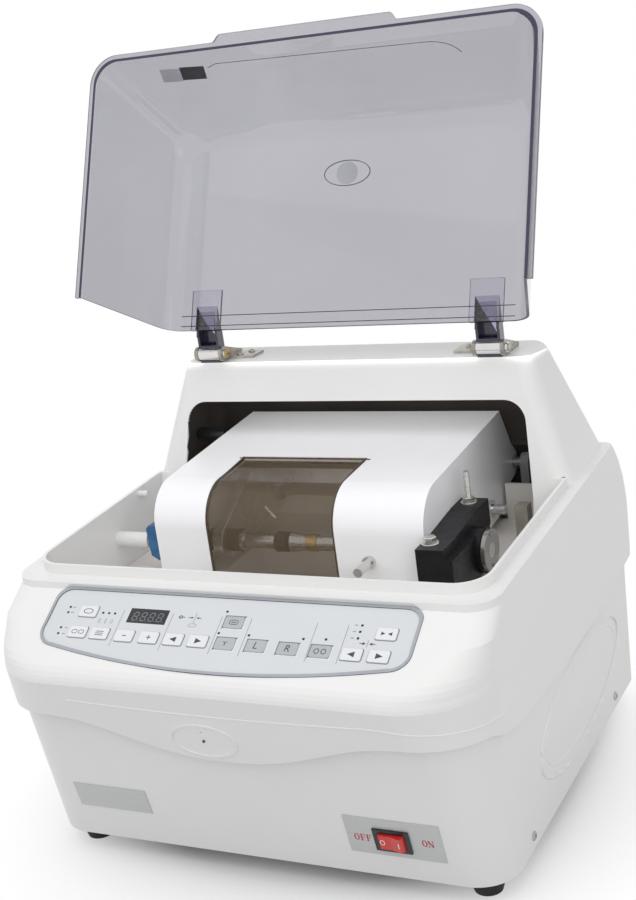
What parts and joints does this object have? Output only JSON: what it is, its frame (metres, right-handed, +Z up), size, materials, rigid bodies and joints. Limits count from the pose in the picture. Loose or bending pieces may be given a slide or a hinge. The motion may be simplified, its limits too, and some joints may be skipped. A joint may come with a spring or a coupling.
{
  "type": "lens grinding machine",
  "caption": "Bench-top pattern-type lens edger with tinted lift-up lid, tilting carriage, clamping lens shafts, grinding wheels and a sloped key panel.",
  "frame": {"origin": "on the floor at the middle of the housing's footprint", "axes": "+X to the operator's right, +Y to the rear, +Z up"},
  "size_m": [0.432, 0.44, 0.6607],
  "materials": {
    "white_shell": "glossy moulded white",
    "beige_tray": "satin",
    "clear_tint": "clear, slightly violet",
    "dark_tint": "smoked clear",
    "black_rubber": "matt",
    "zinc_steel": "zinc plated",
    "ground_steel": "ground",
    "painted_steel": "grey paint",
    "black_casting": "black paint",
    "panel_foil": "satin foil",
    "panel_frame": "grey",
    "key_white": "satin",
    "key_silver": "satin",
    "display_dark": "dark window",
    "lamp": "dark lens",
    "board_green": "printed board",
    "plate_silver": "brushed",
    "black_plastic": "satin",
    "rocker_red": "glossy",
    "blue_plastic": "satin",
    "rough_grit": "bonded grit on steel",
    "fine_grit": "bonded grit on steel",
    "alloy": "turned",
    "belt_rubber": "matt",
    "motor_paint": "dark paint",
    "chrome": "polished",
    "brass": "turned",
    "violet_tint": "clear violet",
    "white_plastic": "satin"
  },
  "bodies": {
    "frame": {"upper_housing": "white_shell", "lower_housing": "white_shell", "base_plate": "painted_steel", "rubber_feet": "black_rubber", "pan_head_screws": "zinc_steel", "inner_posts": "painted_steel", "wheel_tray": "beige_tray", "tray_posts": "beige_tray", "front_plates": "plate_silver", "switch_bezel": "black_plastic", "panel_bezel": "panel_frame", "panel_overlay": "panel_foil", "display": "display_dark", "indicator_lamps": "lamp", "circuit_board": "board_green", "drive_belt": "belt_rubber", "wheel_motor": "motor_paint", "pivot_shaft": "ground_steel", "well_fittings": "white_plastic", "rear_connections": "black_plastic", "hinge_brackets": "chrome", "hinge_barrels": "chrome"},
    "lid": {"lid": "clear_tint", "hinge_arms": "violet_tint"},
    "carriage": {"carriage_frame": "alloy", "carriage_cover": "white_shell", "pattern_housing": "black_casting", "housing_fasteners": "zinc_steel", "cover_fittings": "chrome", "side_knob": "black_plastic"},
    "window": {"viewing_window": "dark_tint"},
    "sleeve": {"chuck_sleeve": "black_casting"},
    "left_shaft": {"lens_shaft_left": "ground_steel", "lens_pad": "black_rubber"},
    "right_shaft": {"lens_shaft_right": "ground_steel", "lens_cup": "brass", "pattern_holder": "chrome"},
    "spindle": {"wheel_spindle": "ground_steel", "rough_wheel": "rough_grit", "finishing_wheel": "fine_grit", "spindle_pulley": "alloy"},
    "motor_rotor": {"motor_shaft": "ground_steel", "motor_pulley": "alloy"},
    "rocker": {"switch_rocker": "rocker_red"},
    "valve": {"valve_lever": "blue_plastic"},
    "key_lens_body": {"key_lens": "key_white"},
    "key_frame_body": {"key_frame": "key_white"},
    "key_mode_body": {"key_mode": "key_white"},
    "key_minus_body": {"key_minus": "key_white"},
    "key_plus_body": {"key_plus": "key_white"},
    "key_size_left_body": {"key_size_left": "key_white"},
    "key_size_right_body": {"key_size_right": "key_white"},
    "key_test_body": {"key_test": "key_silver"},
    "key_view_body": {"key_view": "key_silver"},
    "key_start_left_body": {"key_start_left": "key_silver"},
    "key_start_right_body": {"key_start_right": "key_silver"},
    "key_stop_body": {"key_stop": "key_silver"},
    "key_press_body": {"key_press": "key_white"},
    "key_chuck_left_body": {"key_chuck_left": "key_white"},
    "key_chuck_right_body": {"key_chuck_right": "key_white"}
  },
  "joints": [
    {"name": "lid_hinge", "type": "hinge", "parent": "frame", "child": "lid", "pos_m": [0, 0.1006, 0.3744], "axis": [1, 0, 0], "range_deg": [0, 116.6]},
    {"name": "carriage_lift", "type": "hinge", "parent": "frame", "child": "carriage", "pos_m": [0, 0.1875, 0.242], "axis": [1, 0, 0], "range_deg": [-10, 0]},
    {"name": "window_hinge", "type": "hinge", "parent": "carriage", "child": "window", "pos_m": [0, 0.04, 0.2915], "axis": [1, 0, 0], "range_deg": [-60, 0]},
    {"name": "chuck_slide", "type": "slide", "parent": "carriage", "child": "sleeve", "axis": [1, 0, 0], "range_m": [-0.015, 0.0035]},
    {"name": "lens_turn", "type": "hinge", "parent": "carriage", "child": "right_shaft", "pos_m": [0, 0.0055, 0.226], "axis": [1, 0, 0], "continuous": true},
    {"name": "left_lens_turn", "type": "hinge", "parent": "sleeve", "child": "left_shaft", "pos_m": [0, 0.0055, 0.226], "axis": [1, 0, 0], "continuous": true},
    {"name": "wheel_spin", "type": "hinge", "parent": "frame", "child": "spindle", "pos_m": [0, 0, 0.136], "axis": [1, 0, 0], "continuous": true},
    {"name": "motor_spin", "type": "hinge", "parent": "frame", "child": "motor_rotor", "pos_m": [0, 0.122, 0.074], "axis": [1, 0, 0], "continuous": true},
    {"name": "switch_rock", "type": "hinge", "parent": "frame", "child": "rocker", "pos_m": [0.1235, -0.17582, 0.05762], "axis": [0, -0.241, 0.9705], "range_deg": [0, 14]},
    {"name": "valve_turn", "type": "hinge", "parent": "frame", "child": "valve", "pos_m": [-0.158, -0.008, 0.228], "axis": [1, 0, 0], "range_deg": [0, 90]},
    {"name": "key_lens_press", "type": "slide", "parent": "frame", "child": "key_lens_body", "axis": [0, 0.515, -0.8572], "range_m": [0, 0.0008], "stiffness_N_per_m": 300},
    {"name": "key_frame_press", "type": "slide", "parent": "frame", "child": "key_frame_body", "axis": [0, 0.515, -0.8572], "range_m": [0, 0.0008], "stiffness_N_per_m": 300},
    {"name": "key_mode_press", "type": "slide", "parent": "frame", "child": "key_mode_body", "axis": [0, 0.515, -0.8572], "range_m": [0, 0.0008], "stiffness_N_per_m": 300},
    {"name": "key_minus_press", "type": "slide", "parent": "frame", "child": "key_minus_body", "axis": [0, 0.515, -0.8572], "range_m": [0, 0.0008], "stiffness_N_per_m": 300},
    {"name": "key_plus_press", "type": "slide", "parent": "frame", "child": "key_plus_body", "axis": [0, 0.515, -0.8572], "range_m": [0, 0.0008], "stiffness_N_per_m": 300},
    {"name": "key_size_left_press", "type": "slide", "parent": "frame", "child": "key_size_left_body", "axis": [0, 0.515, -0.8572], "range_m": [0, 0.0008], "stiffness_N_per_m": 300},
    {"name": "key_size_right_press", "type": "slide", "parent": "frame", "child": "key_size_right_body", "axis": [0, 0.515, -0.8572], "range_m": [0, 0.0008], "stiffness_N_per_m": 300},
    {"name": "key_test_press", "type": "slide", "parent": "frame", "child": "key_test_body", "axis": [0, 0.515, -0.8572], "range_m": [0, 0.0008], "stiffness_N_per_m": 300},
    {"name": "key_view_press", "type": "slide", "parent": "frame", "child": "key_view_body", "axis": [0, 0.515, -0.8572], "range_m": [0, 0.0008], "stiffness_N_per_m": 300},
    {"name": "key_start_left_press", "type": "slide", "parent": "frame", "child": "key_start_left_body", "axis": [0, 0.515, -0.8572], "range_m": [0, 0.0008], "stiffness_N_per_m": 300},
    {"name": "key_start_right_press", "type": "slide", "parent": "frame", "child": "key_start_right_body", "axis": [0, 0.515, -0.8572], "range_m": [0, 0.0008], "stiffness_N_per_m": 300},
    {"name": "key_stop_press", "type": "slide", "parent": "frame", "child": "key_stop_body", "axis": [0, 0.515, -0.8572], "range_m": [0, 0.0008], "stiffness_N_per_m": 300},
    {"name": "key_press_press", "type": "slide", "parent": "frame", "child": "key_press_body", "axis": [0, 0.515, -0.8572], "range_m": [0, 0.0008], "stiffness_N_per_m": 300},
    {"name": "key_chuck_left_press", "type": "slide", "parent": "frame", "child": "key_chuck_left_body", "axis": [0, 0.515, -0.8572], "range_m": [0, 0.0008], "stiffness_N_per_m": 300},
    {"name": "key_chuck_right_press", "type": "slide", "parent": "frame", "child": "key_chuck_right_body", "axis": [0, 0.515, -0.8572], "range_m": [0, 0.0008], "stiffness_N_per_m": 300}
  ],
  "couplings": [
    {"joint": "left_lens_turn", "follows": "lens_turn", "ratio": 1},
    {"joint": "motor_spin", "follows": "wheel_spin", "ratio": 1.3}
  ]
}
